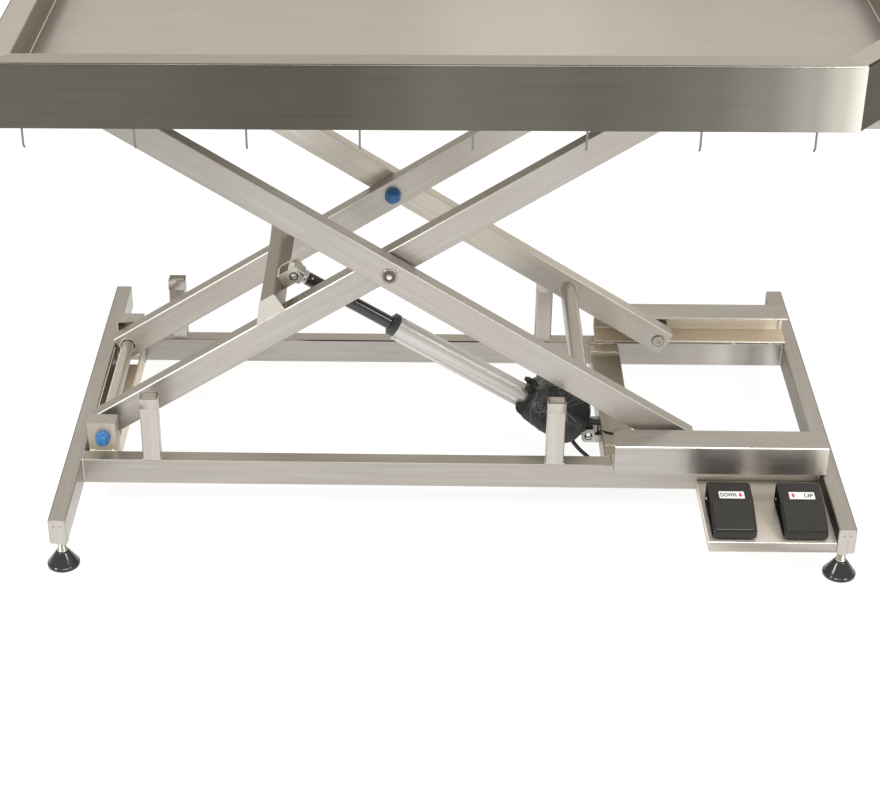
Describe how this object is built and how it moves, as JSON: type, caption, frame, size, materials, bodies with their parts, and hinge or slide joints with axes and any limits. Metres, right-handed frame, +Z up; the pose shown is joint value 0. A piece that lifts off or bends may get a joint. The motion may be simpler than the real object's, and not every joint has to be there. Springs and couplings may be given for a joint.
{
  "type": "veterinary examination table",
  "caption": "Electric lift examination table: shallow sheet-steel tray on a scissor frame raised by a linear actuator, with rest posts, levelling feet and foot switches.",
  "frame": {"origin": "middle of the whole table's box, on the floor under the levelling feet", "axes": "+X along the tray towards its clipped end, +Y from the foot switches towards the back, +Z up"},
  "size_m": [1.2, 0.7, 0.7358],
  "materials": {
    "brushed_stainless": "satin, fine brush lines along each member",
    "bright_steel": "bright zinc plate or polished steel",
    "satin_aluminium": "satin anodised",
    "black_plastic": "fine grain, half matt",
    "gloss_black_plastic": "smooth, glossy",
    "blue_plastic": "smooth, half gloss",
    "black_nylon": "turned nylon, half matt",
    "white_plastic": "matt",
    "black_rubber": "matt cable jacket"
  },
  "bodies": {
    "base": {"base_left_tube": "brushed_stainless", "base_right_tube": "brushed_stainless", "front_rail": "brushed_stainless", "rear_rail": "brushed_stainless", "front_roller_channel": "brushed_stainless", "rear_roller_channel": "brushed_stainless", "pivot_blocks": "brushed_stainless", "pivot_shaft": "brushed_stainless", "shaft_caps": "blue_plastic", "shaft_trough": "brushed_stainless", "rest_posts": "brushed_stainless", "actuator_cross_member": "brushed_stainless", "actuator_lugs": "bright_steel", "pedal_shelf": "brushed_stainless", "foot_nuts": "bright_steel", "foot_switch_bases": "black_plastic", "foot_switch_contacts": "white_plastic", "motor_lead": "black_rubber"},
    "foot_front_left": {"levelling_foot_front_left": "gloss_black_plastic"},
    "foot_front_right": {"levelling_foot_front_right": "gloss_black_plastic"},
    "foot_rear_left": {"levelling_foot_rear_left": "gloss_black_plastic"},
    "foot_rear_right": {"levelling_foot_rear_right": "gloss_black_plastic"},
    "inner_arms": {"front_inner_arm": "brushed_stainless", "rear_inner_arm": "brushed_stainless", "arm_bushes": "black_nylon", "arm_crossbar": "brushed_stainless", "rod_bracket": "bright_steel", "rod_pin": "bright_steel", "upper_roller_shaft": "bright_steel", "centre_bolts": "bright_steel", "centre_cap_nuts": "blue_plastic"},
    "outer_arms": {"front_outer_arm": "brushed_stainless", "rear_outer_arm": "brushed_stainless", "arm_brace_tube": "brushed_stainless", "lower_roller_axles": "bright_steel", "upper_pivot_pins": "bright_steel"},
    "roller_front_lower": {"front_lower_roller": "black_nylon"},
    "roller_rear_lower": {"rear_lower_roller": "black_nylon"},
    "roller_front_upper": {"front_upper_roller": "black_nylon"},
    "roller_rear_upper": {"rear_upper_roller": "black_nylon"},
    "table_top": {"tray_floor": "brushed_stainless", "tray_front_side": "brushed_stainless", "tray_rear_side": "brushed_stainless", "tray_left_end": "brushed_stainless", "tray_right_end": "brushed_stainless", "tray_corners": "brushed_stainless", "front_top_channel": "brushed_stainless", "rear_top_channel": "brushed_stainless", "top_cross_tubes": "brushed_stainless", "tray_hooks": "bright_steel"},
    "actuator_rod": {"piston_tube": "black_plastic", "rod_end": "bright_steel", "drive_nut": "white_plastic"},
    "actuator_body": {"actuator_tube": "satin_aluminium", "tube_collar": "black_plastic", "gearbox_housing": "black_plastic", "motor_housing": "black_plastic", "lead_screw": "bright_steel"},
    "pedal_down": {"down_pedal": "black_plastic"},
    "pedal_up": {"up_pedal": "black_plastic"}
  },
  "joints": [
    {"name": "scissor_lift", "type": "hinge", "parent": "base", "child": "inner_arms", "pos_m": [-0.509, 0, 0.111], "axis": [0, -1, 0], "range_deg": [-26.2, 4.5]},
    {"name": "arm_cross", "type": "hinge", "parent": "inner_arms", "child": "outer_arms", "pos_m": [-0.09352, 0, 0.37264], "axis": [0, -1, 0], "range_deg": [-9.2, 52.6]},
    {"name": "top_pivot", "type": "hinge", "parent": "outer_arms", "child": "table_top", "pos_m": [-0.509, 0, 0.63428], "axis": [0, -1, 0], "range_deg": [-26.4, 4.7]},
    {"name": "front_lower_roller_spin", "type": "hinge", "parent": "outer_arms", "child": "roller_front_lower", "pos_m": [0.32196, -0.1986, 0.111], "axis": [0, -1, 0], "continuous": true},
    {"name": "rear_lower_roller_spin", "type": "hinge", "parent": "outer_arms", "child": "roller_rear_lower", "pos_m": [0.32196, 0.1986, 0.111], "axis": [0, -1, 0], "continuous": true},
    {"name": "front_upper_roller_spin", "type": "hinge", "parent": "inner_arms", "child": "roller_front_upper", "pos_m": [0.32196, -0.1836, 0.63428], "axis": [0, -1, 0], "continuous": true},
    {"name": "rear_upper_roller_spin", "type": "hinge", "parent": "inner_arms", "child": "roller_rear_upper", "pos_m": [0.32196, 0.1836, 0.63428], "axis": [0, -1, 0], "continuous": true},
    {"name": "rod_pivot", "type": "hinge", "parent": "inner_arms", "child": "actuator_rod", "pos_m": [-0.2317, -0.062, 0.32935], "axis": [0, -1, 0], "range_deg": [-6.59, 37.4]},
    {"name": "actuator_stroke", "type": "slide", "parent": "actuator_rod", "child": "actuator_body", "axis": [0.856, 0, -0.517], "range_m": [-0.13067, 0.02261], "deforming": ["motor_lead"]},
    {"name": "front_left_foot_screw", "type": "slide", "parent": "base", "child": "foot_front_left", "axis": [0, 0, -1], "range_m": [-0.008, 0.008]},
    {"name": "rear_left_foot_screw", "type": "slide", "parent": "base", "child": "foot_rear_left", "axis": [0, 0, -1], "range_m": [-0.008, 0.008]},
    {"name": "front_right_foot_screw", "type": "slide", "parent": "base", "child": "foot_front_right", "axis": [0, 0, -1], "range_m": [-0.008, 0.008]},
    {"name": "rear_right_foot_screw", "type": "slide", "parent": "base", "child": "foot_rear_right", "axis": [0, 0, -1], "range_m": [-0.008, 0.008]},
    {"name": "down_pedal_hinge", "type": "hinge", "parent": "base", "child": "pedal_down", "pos_m": [0.382, -0.2653, 0.082], "axis": [1, 0, 0], "range_deg": [0, 3], "stiffness_Nm_per_rad": 10, "springref_deg": -2.86},
    {"name": "up_pedal_hinge", "type": "hinge", "parent": "base", "child": "pedal_up", "pos_m": [0.479, -0.2653, 0.082], "axis": [1, 0, 0], "range_deg": [0, 3], "stiffness_Nm_per_rad": 10, "springref_deg": -2.86}
  ],
  "couplings": [
    {"joint": "arm_cross", "follows": "scissor_lift", "ratio": -2},
    {"joint": "top_pivot", "follows": "scissor_lift", "ratio": 1},
    {"joint": "rod_pivot", "follows": "scissor_lift", "ratio": -1.42},
    {"joint": "actuator_stroke", "follows": "scissor_lift", "m_per_rad": 0.28533}
  ]
}
